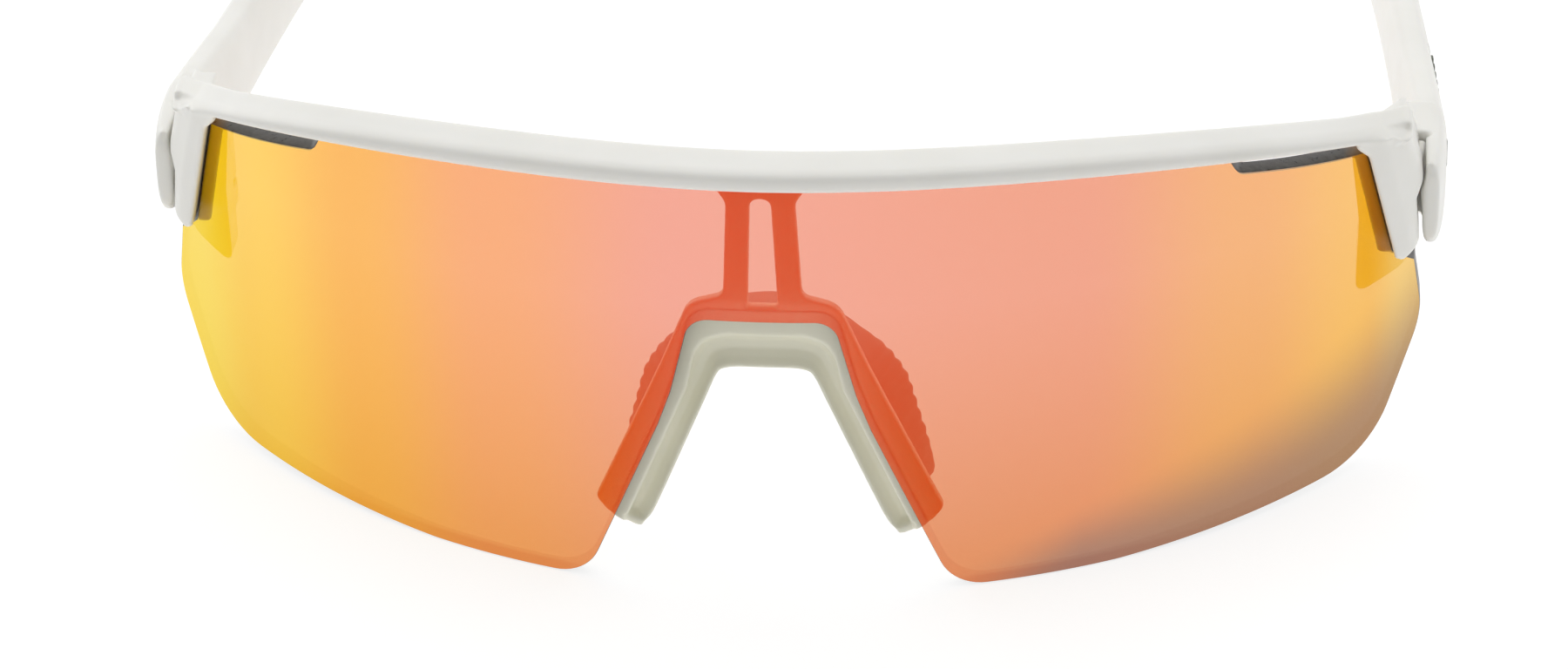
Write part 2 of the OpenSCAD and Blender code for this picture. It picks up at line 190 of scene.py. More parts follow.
def plate(outline, holes, front, back, edge, step, rim, seg):
    """A curved plate that follows the lens, with rounded rims.

    front and back are depths behind the lens's front face, and front may be a function of (x, z) instead.
    The rims are rounded with the radius edge in seg steps. Points on them are rim apart.
    The faces' own points are step apart."""
    front_at = front if callable(front) else (lambda x, z: np.full_like(x, front))
    loops = [resample(np.asarray(outline), rim)] + [resample(np.asarray(h), rim) for h in holes]
    loops = [(lp if (area_of(lp) > 0) == (i == 0) else lp[::-1]) for i, lp in enumerate(loops)]
    normals = [inward(lp) for lp in loops]
    profile = [(edge + FACE_INSET, 0.0)]
    profile += [(edge * (1 - math.sin(t)), edge * (1 - math.cos(t)))
                for t in np.linspace(0, math.pi / 2, seg + 1)]
    face_loops = [lp + nr * profile[0][0] for lp, nr in zip(loops, normals)]

    lo, hi = loops[0].min(0), loops[0].max(0)
    gx = np.arange(lo[0] + step[0] / 2, hi[0], step[0])
    gz = np.arange(lo[1] + step[1] / 2, hi[1], step[1])
    grid = np.stack(np.meshgrid(gx, gz), -1).reshape(-1, 2)
    keep = inside(grid, face_loops[0])
    for lp in face_loops[1:]:
        keep &= ~inside(grid, lp)
    edge_points = np.concatenate(face_loops)
    near = np.array([np.min(np.sum((edge_points - g) ** 2, 1)) for g in grid]) < (NEAREST * rim) ** 2
    grid = grid[keep & ~near]

    flat = np.concatenate([edge_points, grid])
    edges, start = [], 0
    for lp in face_loops:
        edges += [(start + i, start + (i + 1) % len(lp)) for i in range(len(lp))]
        start += len(lp)
    coords, _, tris, _, _, _ = geometry.delaunay_2d_cdt([Vector(p) for p in flat], edges, [], 0, 1e-6)
    coords = np.array([tuple(c) for c in coords])
    tris = np.array([t for t in tris if len(t) == 3])
    mid = coords[tris].mean(1)
    keep = inside(mid, face_loops[0])
    for lp in face_loops[1:]:
        keep &= ~inside(mid, lp)
    tris = tris[keep]

    n = len(coords)
    verts = [bent(coords[:, 0], coords[:, 1], front_at(coords[:, 0], coords[:, 1])),
             bent(coords[:, 0], coords[:, 1], back)]
    faces = [list(t) for t in tris] + [list(t[::-1] + n) for t in tris]
    total, start = 2 * n, 0
    for lp, nr in zip(loops, normals):
        m = len(lp)
        front_ids = np.arange(start, start + m)
        rows = [front_ids]
        for inset, sink in profile[1:]:
            p = lp + nr * inset
            verts.append(bent(p[:, 0], p[:, 1], front_at(p[:, 0], p[:, 1]) + sink))
            rows.append(np.arange(total, total + m))
            total += m
        for inset, sink in reversed(profile[1:]):
            p = lp + nr * inset
            verts.append(bent(p[:, 0], p[:, 1], back - sink))
            rows.append(np.arange(total, total + m))
            total += m
        rows.append(front_ids + n)
        for a, b in zip(rows[:-1], rows[1:]):
            faces += [[a[i], b[i], b[(i + 1) % m], a[(i + 1) % m]] for i in range(m)]
        start += m
    return np.concatenate(verts), faces


def skin(rings):
    """A tube over rings of equal length; each end is closed by a fan."""
    rings = np.asarray(rings, float)
    m, n = rings.shape[:2]
    verts = rings.reshape(-1, 3)
    faces = [[i * n + j, i * n + (j + 1) % n, (i + 1) * n + (j + 1) % n, (i + 1) * n + j]
             for i in range(m - 1) for j in range(n)]
    ends = np.array([rings[0].mean(0), rings[-1].mean(0)])
    faces += [[m * n, (j + 1) % n, j] for j in range(n)]
    faces += [[m * n + 1, (m - 1) * n + j, (m - 1) * n + (j + 1) % n] for j in range(n)]
    return np.concatenate([verts, ends]), faces


def bell(reach, sigma):
    """The weights of a bell curve, from -reach to reach steps, that add up to 1."""
    w = np.exp(-0.5 * (np.arange(-reach, reach + 1) / sigma) ** 2)
    return w / w.sum()


def smooth_table(t, table, sigma):
    """A table of (position, value) knots, with its kinks rounded over a width sigma."""
    steps = 6
    reach = 3 * steps
    table = np.array(table, float)
    fine = np.arange(table[0, 0] - 4 * sigma, table[-1, 0] + 4 * sigma, sigma / steps)
    raw = np.interp(fine, table[:, 0], table[:, 1])
    soft = np.convolve(np.pad(raw, reach, mode="edge"), bell(reach, steps), mode="valid")
    return np.interp(t, fine, soft)


def rod(a, b, r, sides, bevel, bore=0.0):
    """A straight rod or ring from a to b with bevelled edges and an optional bore."""
    a, b = np.array(a, float), np.array(b, float)
    axis = (b - a) / np.linalg.norm(b - a)
    u = np.cross(axis, (0, 0, 1) if abs(axis[2]) < 0.9 else (1, 0, 0))
    u /= np.linalg.norm(u)
    w = np.cross(axis, u)
    length = np.linalg.norm(b - a)
    inner, inner_bevel = (bore, bevel) if bore else (0.01, 0)
    profile = [(inner, inner_bevel), (inner + inner_bevel, 0), (r - bevel, 0), (r, bevel),
               (r, length - bevel), (r - bevel, length), (inner + inner_bevel, length),
               (inner, length - inner_bevel)]
    angles = np.linspace(0, 2 * math.pi, sides, endpoint=False)
    verts = np.array([a + axis * h + out * (math.cos(t) * u + math.sin(t) * w)
                      for out, h in profile for t in angles])
    n, m = sides, len(profile)
    faces = [[i * n + j, ((i + 1) % m) * n + j, ((i + 1) % m) * n + (j + 1) % n, i * n + (j + 1) % n]
             for i in range(m) for j in range(n)]
    return verts, faces


def block(lo, hi):
    """A box between two opposite corners."""
    x, y, z = zip(lo, hi)
    v = np.array([[x[i], y[j], z[k]] for i in (0, 1) for j in (0, 1) for k in (0, 1)], float)
    return v, [[0, 1, 3, 2], [4, 6, 7, 5], [0, 4, 5, 1], [2, 3, 7, 6], [0, 2, 6, 4], [1, 5, 7, 3]]


def finish_piece(obj, body, material, node):
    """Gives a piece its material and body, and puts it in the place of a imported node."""
    obj.data.materials.clear()
    obj.data.materials.append(material)
    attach(obj, body)
    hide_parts(node)


# ---------------------------------------------------------------- materials


class Nodes:
    """A short way to write a material's node tree."""

    def __init__(self, name):
        self.material = bpy.data.materials.new(name)
        self.material.use_nodes = True
        self.tree = self.material.node_tree
        self.shader = self.tree.nodes["Principled BSDF"]
        self.coords = self.add("ShaderNodeTexCoord").outputs["Object"]

    def add(self, kind, inputs=None, **settings):
        node = self.tree.nodes.new(kind)
        for key, value in settings.items():
            setattr(node, key, value)
        for key, value in (inputs or {}).items():
            self.link(value, node.inputs[key])
        return node

    def link(self, value, socket):
        if isinstance(value, bpy.types.NodeSocket):
            self.tree.links.new(value, socket)
        else:
            socket.default_value = value

    def noise(self, scale, detail=3.0, rough=0.5):
        return self.add("ShaderNodeTexNoise", {"Vector": self.coords, "Scale": scale, "Detail": detail,
                                               "Roughness": rough}).outputs["Fac"]

    def ramp(self, fac, stops, interpolation="LINEAR"):
        node = self.add("ShaderNodeValToRGB", {"Fac": fac})
        ramp = node.color_ramp
        ramp.interpolation = interpolation
        while len(ramp.elements) < len(stops):
            ramp.elements.new(0.5)
        for element, (pos, colour) in zip(ramp.elements, stops):
            element.position = pos
            element.color = (*colour, 1) if len(colour) == 3 else colour
        return node.outputs["Color"]

    def math(self, op, a, b=0.0):
        return self.add("ShaderNodeMath", {0: a, 1: b}, operation=op).outputs[0]

    def clamp(self, value):
        return self.add("ShaderNodeClamp", {"Value": value}).outputs[0]

    def mix(self, fac, a, b):
        node = self.add("ShaderNodeMix", {0: fac, 6: a, 7: b}, data_type="RGBA")
        return node.outputs[2]

    def multiply(self, a, b):
        node = self.add("ShaderNodeMix", {0: 1.0, 6: a, 7: b}, data_type="RGBA", blend_type="MULTIPLY")
        return node.outputs[2]

    def rise(self, x):
        """How far the lens's lower edge rises towards its ends, in metres."""
        return self.math("MULTIPLY", self.math("POWER", self.math("DIVIDE", x, 0.066), 8.0), 0.004)

    def surface(self, shader):
        """Gives the material this shader, and returns the material."""
        self.tree.links.new(shader.outputs[0], self.tree.nodes["Material Output"].inputs["Surface"])
        return self.material

    def bump(self, height, strength, distance):
        node = self.add("ShaderNodeBump", {"Height": height, "Strength": strength, "Distance": distance})
        self.link(node.outputs["Normal"], self.shader.inputs["Normal"])

    def set(self, **values):
        for key, value in values.items():
            self.link(value, self.shader.inputs[key.replace("_", " ")])


def srgb(r, g, b):
    """An sRGB colour, 0 to 255, as linear values."""
    return tuple((c / 255 / 12.92) if c <= 10 else ((c / 255 + 0.055) / 1.055) ** 2.4 for c in (r, g, b))


def plastic(name, light, dark, roughness, grain=2600.0, depth=0.00002, subsurface=0.0):
    """Moulded plastic: faint mottling, fine grain and slightly uneven gloss."""
    m = Nodes(name)
    m.set(Base_Color=m.ramp(m.noise(70, 4), [(0.3, dark), (0.7, light)]))
    m.set(Roughness=m.ramp(m.noise(420, 3), [(0.3, (roughness - 0.05,) * 3), (0.7, (roughness + 0.07,) * 3)]))
    m.bump(m.noise(grain, 2), 0.25, depth)
    m.shader.inputs["Specular IOR Level"].default_value = 0.45
    if subsurface:
        m.shader.inputs["Subsurface Weight"].default_value = subsurface
        m.shader.inputs["Subsurface Radius"].default_value = (0.002, 0.0018, 0.0014)
        m.shader.inputs["Subsurface Scale"].default_value = 1.0
    return m


def metal(name, colour, roughness, brush=900.0):
    """Turned metal: its gloss is broken up by a fine noise."""
    m = Nodes(name)
    m.set(Base_Color=m.ramp(m.noise(300, 3), [(0.3, tuple(c * 0.85 for c in colour)), (0.7, colour)]))
    gloss = [(0.3, (roughness - 0.06,) * 3), (0.7, (roughness + 0.1,) * 3)]
    m.set(Roughness=m.ramp(m.noise(brush, 4), gloss))
    m.bump(m.noise(brush * 2, 2), 0.2, 0.00001)
    m.shader.inputs["Metallic"].default_value = 1.0
    return m.material


def lens_material():
    """Mirror coating over a smoke tint: the coating's and the tint's colours change along the lens."""
    m = Nodes("mirror_coat")
    m.tree.nodes.remove(m.shader)
    axes = m.add("ShaderNodeSeparateXYZ", {"Vector": m.coords})
    x, z = axes.outputs["X"], axes.outputs["Z"]
    across = m.math("ADD", m.math("MULTIPLY", x, 0.5 / LENS_HALF_WIDTH), 0.5)
    across = m.math("ADD", across, m.math("MULTIPLY", m.math("SUBTRACT", m.noise(9, 2), 0.5), COAT_WAVER))
    coat = m.ramp(across, LENS_COAT, "EASE")
    tint = m.ramp(across, LENS_TINT, "EASE")
    # Both deepen towards the lower edge
    depth = m.clamp(m.math("DIVIDE", m.math("SUBTRACT", LOW_TOP, z), LOW_TOP))
    tint = m.multiply(tint, m.mix(depth, WHITE, LOW_TINT))
    coat = m.multiply(coat, m.mix(depth, WHITE, LOW_COAT))
    # Painted shade: a dark strip along the lower edge on the wearer's left, which widens outwards, stands for
    # a dark reflection and darkens both the coat and the tint
    from_start = m.math("SUBTRACT", x, PAINTED_SHADE_START)
    width = m.math("ADD", m.math("MULTIPLY", from_start, PAINTED_SHADE_SPREAD), PAINTED_SHADE_WIDTH)
    low = m.clamp(m.math("SUBTRACT", 1.0, m.math("DIVIDE", m.math("SUBTRACT", z, m.rise(x)), width)))
    painted_shade = m.math("MULTIPLY", low, m.clamp(m.math("DIVIDE", from_start, PAINTED_SHADE_FADE)))
    painted_shade = m.ramp(painted_shade, [(0.05, (0, 0, 0)), (0.9, (1, 1, 1))], "EASE")
    coat = m.mix(m.math("MULTIPLY", painted_shade, 0.72), coat, PAINTED_SHADE_COAT)
    tint = m.mix(m.math("MULTIPLY", painted_shade, 0.6), tint, PAINTED_SHADE_TINT)
    glossy = m.add("ShaderNodeBsdfGlossy", {"Color": coat, "Roughness": 0.035})
    clear = m.add("ShaderNodeBsdfTransparent", {"Color": tint})
    both = m.add("ShaderNodeAddShader", {0: glossy.outputs[0], 1: clear.outputs[0]})
    return m.surface(both)


def lens_back_material():
    """The lens's uncoated rear face: clear, with a weak reflection that grows at glancing angles."""
    m = Nodes("lens_back")
    m.tree.nodes.remove(m.shader)
    gloss = m.add("ShaderNodeBsdfGlossy", {"Color": (1, 1, 1, 1), "Roughness": 0.04})
    clear = m.add("ShaderNodeBsdfTransparent", {"Color": (0.97, 0.97, 0.96, 1)})
    facing = m.add("ShaderNodeLayerWeight", {"Blend": 0.5}).outputs["Facing"]
    sheen = m.math("ADD", 0.02, m.math("MULTIPLY", m.math("POWER", facing, 4.0), 0.25))
    both = m.add("ShaderNodeMixShader", {0: sheen, 1: clear.outputs[0], 2: gloss.outputs[0]})
    return m.surface(both)


def rim_material():
    """The lens's cut edge: smoky grey, amber where it faces the lugs, and clear when seen from inside."""
    m = Nodes("lens_rim")
    axes = m.add("ShaderNodeSeparateXYZ", {"Vector": m.coords})
    out = m.math("ABSOLUTE", axes.outputs["X"])
    beside = m.clamp(m.math("DIVIDE", m.math("SUBTRACT", out, LUG_INNER_X), 0.002))
    above = m.clamp(m.math("DIVIDE", m.math("SUBTRACT", axes.outputs["Z"], LUG_LOW_Z), 0.001))
    at_lug = m.math("MULTIPLY", beside, above)
    smoke = m.ramp(m.noise(900, 4, 0.7), [(0.3, srgb(58, 56, 54)), (0.75, srgb(112, 110, 108))])
    amber = m.ramp(m.noise(700, 4, 0.6), [(0.3, srgb(128, 88, 34)), (0.75, srgb(164, 122, 58))])
    m.set(Base_Color=m.mix(at_lug, smoke, amber))
    m.set(Roughness=m.ramp(m.noise(900, 3), [(0.3, (0.25,) * 3), (0.7, (0.45,) * 3)]))
    m.bump(m.noise(3000, 2), 0.3, 0.00002)
    inside = m.add("ShaderNodeNewGeometry", {}).outputs["Backfacing"]
    clear = m.add("ShaderNodeBsdfTransparent", {"Color": (0.86, 0.84, 0.82, 1)})
    both = m.add("ShaderNodeMixShader", {0: inside, 1: m.shader.outputs[0], 2: clear.outputs[0]})
    return m.surface(both)


# In metres: half the lens's width, and where the lugs start
LENS_HALF_WIDTH = 0.0712
LUG_INNER_X, LUG_LOW_Z = 0.0615, 0.0262
# Along the lens, from 0 on the wearer's right to 1
LENS_TINT = [(0.02, (0.12, 0.15, 0.17)), (0.18, (0.20, 0.24, 0.14)), (0.29, (0.27, 0.33, 0.21)),
             (0.44, (0.29, 0.36, 0.30)), (0.74, (0.28, 0.33, 0.26)), (0.87, (0.20, 0.24, 0.21)),
             (0.98, (0.13, 0.16, 0.17))]
LENS_COAT = [(0.02, (0.79, 0.55, 0.02)), (0.08, (0.78, 0.43, 0.0)), (0.18, (0.71, 0.23, 0.0)),
             (0.29, (0.62, 0.08, 0.0)), (0.44, (0.56, 0.022, 0.0)), (0.74, (0.55, 0.035, 0.0)),
             (0.87, (0.66, 0.20, 0.0)), (0.96, (0.75, 0.35, 0.01)), (0.99, (0.75, 0.45, 0.08))]
COAT_WAVER = 0.04
WHITE = (1, 1, 1, 1)
# Below this height in metres the lens deepens towards these shares of its tint and its coat
LOW_TOP = 0.036
LOW_TINT, LOW_COAT = (0.88, 0.82, 0.5, 1), (0.95, 0.92, 0.9, 1)
# The painted shade's strip in metres: where it starts, the length over which it comes in, its width there,
# how it widens
PAINTED_SHADE_START, PAINTED_SHADE_FADE, PAINTED_SHADE_WIDTH, PAINTED_SHADE_SPREAD = 0.018, 0.016, 0.00382, 0.34
# The colours that the painted shade mixes into the coat and the tint
PAINTED_SHADE_COAT = (0.20, 0.10, 0.085, 1)
PAINTED_SHADE_TINT = (0.07, 0.075, 0.09, 1)

FRAME_WHITE = plastic("white_nylon", srgb(243, 242, 237), srgb(237, 236, 230), 0.38, subsurface=0.15)
CLIP_WHITE = plastic("clip_nylon", srgb(238, 236, 218), srgb(230, 228, 208), 0.42, subsurface=0.1)
# The saddle's grey is partly the rubber's own colour and partly painted shade: its colours are darkened to
# stand for the shade behind the lens
SADDLE_RUBBER_AND_SHADE = plastic("saddle_rubber_and_shade", srgb(172, 171, 158), srgb(159, 158, 146), 0.62, grain=4200,
                        depth=0.00004)
GRIP_RUBBER = plastic("grip_rubber", srgb(226, 226, 219), srgb(213, 213, 206), 0.66, grain=4200,
                      depth=0.00005)
BADGE_PLASTIC = plastic("badge_plastic", srgb(128, 132, 120), srgb(104, 108, 98), 0.45)
WASHER_PLASTIC = plastic("washer_nylon", srgb(64, 64, 66), srgb(48, 48, 50), 0.5)
STEEL = metal("screw_steel", (0.62, 0.62, 0.64), 0.28)
BRASS = metal("insert_brass", (0.72, 0.52, 0.2), 0.32)

# ---------------------------------------------------------------- front frame

BAR_LOW, BAR_RIDGE, BAR_DROP = 51.1, 53.3, 0.000033
BAR_HALF, BAR_DEPTH, BAR_LEAST_DEPTH, BAR_REAR_R = 68.3, 5.0, 2.8, 88.5
BAR_RINGS = 275
# Where the bar's ridge starts to round off towards its ends
BAR_ROUND_X = 64.5
REAR_WALL_HALF, REAR_WALL_DROP, REAR_WALL_FADE = 48.0, 1.3, 1.5
GROOVE_FRONT, GROOVE_REAR, GROOVE_H = -0.2, 2.3, 1.0


def low_z(x):
    return BAR_LOW - 0.92 * BAR_DROP * np.abs(x) ** 3


def ridge_z(x):
    return BAR_RIDGE - 1.03 * BAR_DROP * np.abs(x) ** 3


def bar_depth(x):
    """The depth of the bar's rear face: an arc of a larger radius than the lens's."""
    cosine = math.sqrt(1 - (x / LENS_R) ** 2)
    shift = BAR_REAR_R + BAR_DEPTH - LENS_R
    arc = LENS_R + shift * cosine - math.sqrt(BAR_REAR_R ** 2 - (1 - cosine ** 2) * shift ** 2)
    return max(arc, BAR_LEAST_DEPTH)


def bar_section(x, end):
    """The bar's section as (depth, z), with the groove for the lens.

    end runs from 0 to 1 where the rear wall stops."""
    round_off = 0.8 * max(0.0, abs(x) - BAR_ROUND_X) ** 2 / 6
    low, ridge = float(low_z(x)), float(ridge_z(x)) - round_off
    wall_low = low - REAR_WALL_DROP * (1 - end)
    depth = bar_depth(x)
    foot = min(0.6, 0.4 * (depth - GROOVE_REAR))
    front = [(-1.15, low, 0.3), (-1.7, low + 0.5, 0.35), (-1.62, ridge - 0.25, 0.9), (-0.4, ridge + 0.1, 1.0)]
    rear = [(depth - 0.1, ridge, 1.1), (depth - 0.05, wall_low, foot),
            (GROOVE_REAR + 0.05, wall_low, foot / 2)]
    groove_top = low + GROOVE_H
    groove = [(GROOVE_REAR, groove_top, 0.2), (GROOVE_FRONT, groove_top, 0.2), (GROOVE_FRONT, low, 0.15)]
    return rounded(front + rear + groove, 4)


def bar_mesh():
    """The bar, swept along x, with a rounded cap on each end."""
    rings = []
    for x in np.linspace(-BAR_HALF, BAR_HALF, BAR_RINGS):
        sec = bar_section(x, float(np.clip((abs(x) - REAR_WALL_HALF) / REAR_WALL_FADE, 0, 1)))
        rings.append(bent(x, sec[:, 1], sec[:, 0]))
    caps = []
    for ring, sign in ((rings[0], -1), (rings[-1], 1)):
        mid = ring.mean(0)
        caps.append([mid + (ring - mid) * (0.55 + 0.45 * math.cos(t)) + (sign * 0.9 * math.sin(t), 0, 0)
                     for t in np.linspace(0.25, 1.4, 6)])
    return skin(caps[0][::-1] + rings + caps[1])


LUG = [(62.9, 44.0, 0.2), (66.3, 43.0, 1.4), (68.75, 41.4, 1.8), (70.55, 34.8, 2), (70.65, 33.6, 0.3),
       (69.95, 32.0, 0.3), (70.5, 26.4, 0.6), (68.7, 25.5, 0.6), (67.75, 26.3, 0.3), (64.3, 41.3, 0.4),
       (62.9, 43.0, 0.4)]


def lug_front(x, z):
    """The lug's front: an inner and an outer facet that meet at a soft upright crease."""
    crease = np.interp(z, [26, 31.7, 37.6, 41.2, 46], [69.7, 68.7, 67.4, 66.4, 65.4])
    out = x - crease
    return -1.72 + np.where(out > 0, 0.34 * out, -0.10 * out)


def front_frame():
    lug = plate(rounded(LUG), [], lug_front, 2.2, edge=0.55, step=(0.5, 0.8), rim=0.4, seg=5)
    verts, faces = join_meshes([bar_mesh(), lug, mirror_mesh(lug)])
    obj = mesh_object("front_frame_shell", verts, faces)
    remesh(obj, 0.22, 7)
    finish_piece(obj, "front", FRAME_WHITE.material, "front_frame")


# ---------------------------------------------------------------- lens

VENT_X = 49.3
LENS_HALF = [(0, 34.5, 0), (7.7, 34.5, 2.6), (10, 25.2, 3), (11.5, 20.9, 0.5), (20.3, 0, 5.5), (38, 0, 20),
             (65.8, 1.3, 8), (71.3, 15.4, 10), (70.1, 23.4, 0.4), (68.4, 25.2, 0.4), (67.5, 26.4, 0.5),
             (64.1, 41.1, 0.5), (50.2, 45.2, 1.6), (VENT_X, 47, 0.5)]


LENS_IN_GROOVE = 0.9
LENS_EDGE = 0.28
# A face of the rounded edge that reaches deeper than this belongs to the rim
RIM_DEPTH = 0.16


def lens():
    top = [(x, float(low_z(x)) + LENS_IN_GROOVE, 0) for x in (VENT_X, *range(48, 0, -3))]
    outline = rounded(mirrored(LENS_HALF + top), 10)
    verts, faces = plate(outline, [], 0.0, LENS_T, edge=LENS_EDGE, step=(1.4, 2.6), rim=0.45, seg=4)
    obj = mesh_object("shield_lens", verts, faces)
    for material in (lens_material(), rim_material(), lens_back_material()):
        obj.data.materials.append(material)
    depth = LENS_R - np.hypot(verts[:, 0], LENS_R - verts[:, 1])
    for poly in obj.data.polygons:
        d = [depth[i] for i in poly.vertices]
        if len(poly.vertices) == 4 and max(d) > RIM_DEPTH:
            poly.material_index = 1
        if min(d) > LENS_T - 0.01:
            poly.material_index = 2
    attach(obj, "front")
    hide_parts("lens")


# ---------------------------------------------------------------- nose piece

CLIP_HALF = [(0, 51.9, 0), (5.5, 51.9, 0.3), (5.3, 50.2, 0.8), (3.7, 47.8, 2.0), (4.25, 36.4, 1.2),
             (8.1, 35.2, 2.8), (11.4, 27, 3.5), (19.2, 9.0, 0.9), (17.8, 7.3, 1.0), (15.6, 7.2, 0.4),
             (8.4, 24.6, 2.0), (7.0, 31.5, 1.0), (0, 31.5, 0)]
SLOT = [(-1.1, 48.3, 1.0), (1.1, 48.3, 1.0), (1.65, 33.9, 1.4), (-1.65, 33.9, 1.4)]

# The clip's legs, from the arch to a tip: matched points on the edge behind the lens and beside the nose gap
LEG_OUT = [(0, 35.2), (4.5, 35.15), (8.0, 33.9), (9.9, 30.2), (11.2, 26.6), (14, 20.0), (16.4, 14.4),
           (18.2, 9.9), (17.6, 7.7)]
LEG_IN = [(0, 27.0), (3.4, 27.0), (4.9, 26.6), (5.5, 25.5), (6.4, 23.2), (8.6, 17.8), (10.9, 12.1),
          (12.9, 7.2), (14.0, 5.9)]
LEG_BACK = 5.48


def smooth_path(points, count):
    """A smooth curve through matched knots, mirrored to the other half so that the arch has no kink."""
    steps, reach, sigma = 801, 40, 13
    p = np.array(points, float)
    full = np.concatenate([p[:0:-1] * (-1, 1), p])
    along, knots = np.linspace(-1, 1, steps), np.linspace(-1, 1, len(full))
    out = []
    for k in (0, 1):
        fine = np.interp(along, knots, full[:, k])
        before, after = fine[reach:0:-1], fine[-2:-reach - 2:-1]
        padded = np.concatenate([2 * fine[0] - before, fine, 2 * fine[-1] - after])
        soft = np.convolve(padded, bell(reach, sigma), mode="valid")
        out.append(np.interp(np.linspace(-1, 1, count), along, soft))
    return np.stack(out, 1)


def leg_mesh():
    """The clip's U: a scooped band with a raised lip round the nose gap."""
    outer, inner = smooth_path(LEG_OUT, 161), smooth_path(LEG_IN, 161)
    # (share of the way from the outer to the inner edge, depth behind the lens's front)
    section = [(0.0, 2.5), (0.03, 2.28), (0.1, 2.22), (0.4, 2.22), (0.46, 2.5), (0.52, 3.3), (0.62, 3.9),
               (0.75, 4.0), (0.86, 3.6), (0.93, 3.15), (0.965, 3.02), (0.99, 3.12), (1.0, 3.4), (1.0, 5.1),
               (0.97, 5.4), (0.9, LEG_BACK), (0.4, LEG_BACK), (0.34, 5.3), (0.3, 4.9), (0.24, 3.9),
               (0.06, 3.7), (0.01, 3.5)]
    scoop_end = 13
    rings = []
    for t, o, i in zip(np.linspace(-1, 1, len(outer)), outer, inner):
        # The scoop runs out just before each tip
        flat = float(np.clip((abs(t) - 0.95) / 0.04, 0, 1))
        rings.append([bent(*(o + (i - o) * k), d + (min(d, 2.6 + 0.5 * k) - d) * flat if n < scoop_end else d)
                      for n, (k, d) in enumerate(section)])
    rings = np.array(rings)
    caps = []
    for ring, nxt in ((rings[0], rings[1]), (rings[-1], rings[-2])):
        mid = ring.mean(0)
        along = (ring.mean(0) - nxt.mean(0))
        along /= np.linalg.norm(along)
        caps.append([mid + (ring - mid) * (1 - 0.6 * (1 - math.cos(s))) + along * 0.8 * math.sin(s)
                     for s in np.linspace(0.3, 1.5, 5)])
    return skin(list(caps[0][::-1]) + list(rings) + list(caps[1]))


def nose_bridge():
    clip = plate(rounded(mirrored(CLIP_HALF), 6), [rounded(SLOT, 6)], 2.22, 3.5, edge=0.3, step=(0.8, 0.8),
                 rim=0.4, seg=3)
    verts, faces = join_meshes([clip, leg_mesh()])
    obj = mesh_object("nose_clip", verts, faces)
    remesh(obj, 0.16, 4)
    finish_piece(obj, "front", CLIP_WHITE.material, "nose_bridge")


SADDLE_FRONT = [(0, 31.2), (4.6, 31.0), (7.2, 28.6), (8.9, 24), (10.6, 19.5), (12.4, 15), (14.2, 10.5),
                (15, 8.4)]
SADDLE_REAR = [(0, 29.9), (4.2, 29.2), (7.6, 26.8), (11.6, 23.2), (13.9, 19.6), (15, 15), (16.3, 10),
               (17.2, 6.4)]


SADDLE_FRONT_DEPTH, SADDLE_REAR_DEPTH = 5.7, 13.9
RIB_H, RIB_COUNT = 0.28, 19
# The strip's rolled section: (share of the way from its front to its rear edge, share of half its thickness)
ROLLED = [(0.0, 0.8), (0.06, 0.97), (0.2, 1.0), (0.4, 1.0), (0.6, 1.0), (0.8, 1.0), (0.9, 0.93), (0.97, 0.65),
          (1.0, 0)]


def nose_saddle():
    """One-piece rubber saddle: a soft strip with rolled edges and grip ribs across both wings."""
    front, rear = smooth_path(SADDLE_FRONT, 241), smooth_path(SADDLE_REAR, 241)
    along = np.gradient(rear, axis=0)
    along /= np.linalg.norm(along, axis=1, keepdims=True)
    out = np.stack([-along[:, 1], along[:, 0]], 1)
    rings = []
    for k in range(len(front)):
        s = abs(k / (len(front) - 1) * 2 - 1)
        on_wing = np.clip((s - 0.34) * 8, 0, 1) * np.clip((0.9 - s) * 12, 0, 1)
        ribs = RIB_H * on_wing * (0.5 + 0.5 * math.cos(2 * math.pi * s * RIB_COUNT)) ** 0.7
        half = np.interp(s, [0, 0.9, 0.97, 1], [0.95, 0.95, 0.75, 0.3])
        ring = []
        for face, row in ((1, ROLLED), (-1, ROLLED[-2::-1])):
            for u, h in row:
                swell = ribs * (0.8 * u if face > 0 else 0.15 < u < 0.85)
                depth = SADDLE_FRONT_DEPTH + (SADDLE_REAR_DEPTH - SADDLE_FRONT_DEPTH) * u
                p = front[k] * (1 - u) + rear[k] * u
                ring.append(bent(*(p + out[k] * (face * half * h + swell)), depth))
        rings.append(np.array(ring))
    obj = mesh_object("nose_saddle_pad", *skin(rings))
    finish_piece(obj, "front", SADDLE_RUBBER_AND_SHADE.material, "nose_saddle")


# ---------------------------------------------------------------- arms

PIN_X, PIN_Y, EAR_R = 67.8, 45.6, 2.5
KNUCKLE_LOW, KNUCKLE_HIGH = 24.7, 30.9
CAP_LOW, CAP_HIGH = 34.1, 35.5
WEB_OUT, CAP_OUT = 71.6, 71.9
TUBE_FRONT, GRIP_FRONT = 36.9, 118.0
ARM_OUT, CURL, CURL_END, CURL_L = 74, 1.3, 52, 14
# The power of the superellipse that the arm's section is
SECTION_POWER = 0.62
# Knots of the arm's width, lower edge and half height, as (y, value)
ARM_W = [(36.3, 1.8), (40, 2.2), (45, 2.6), (49, 2.9), (52, 4.4), (62, 4.6), (80, 4.5), (118, 4.7),
         (150, 5.4), (162, 4.8), (165, 2)]
ARM_LOW = [(36.3, 26.4), (37.5, 25), (40, 23.7), (44, 22.2), (52, 20.9), (70, 20.8), (100, 19.4), (118, 17.6),
           (126, 15.9), (135, 13), (148, 7), (156, 2.2), (159, 0.7), (161, 0.1), (162, 0.02), (163.6, 0.6),
           (165, 2.2)]
ARM_HALF = [(36.3, 4), (37.5, 5.1), (40, 5.9), (44, 6.65), (52, 7.1), (62, 6.3), (70, 5.6), (100, 4.7),
            (118, 4.5), (150, 4.7), (158, 4.4), (162, 3.5), (163.6, 2.6), (165, 1)]


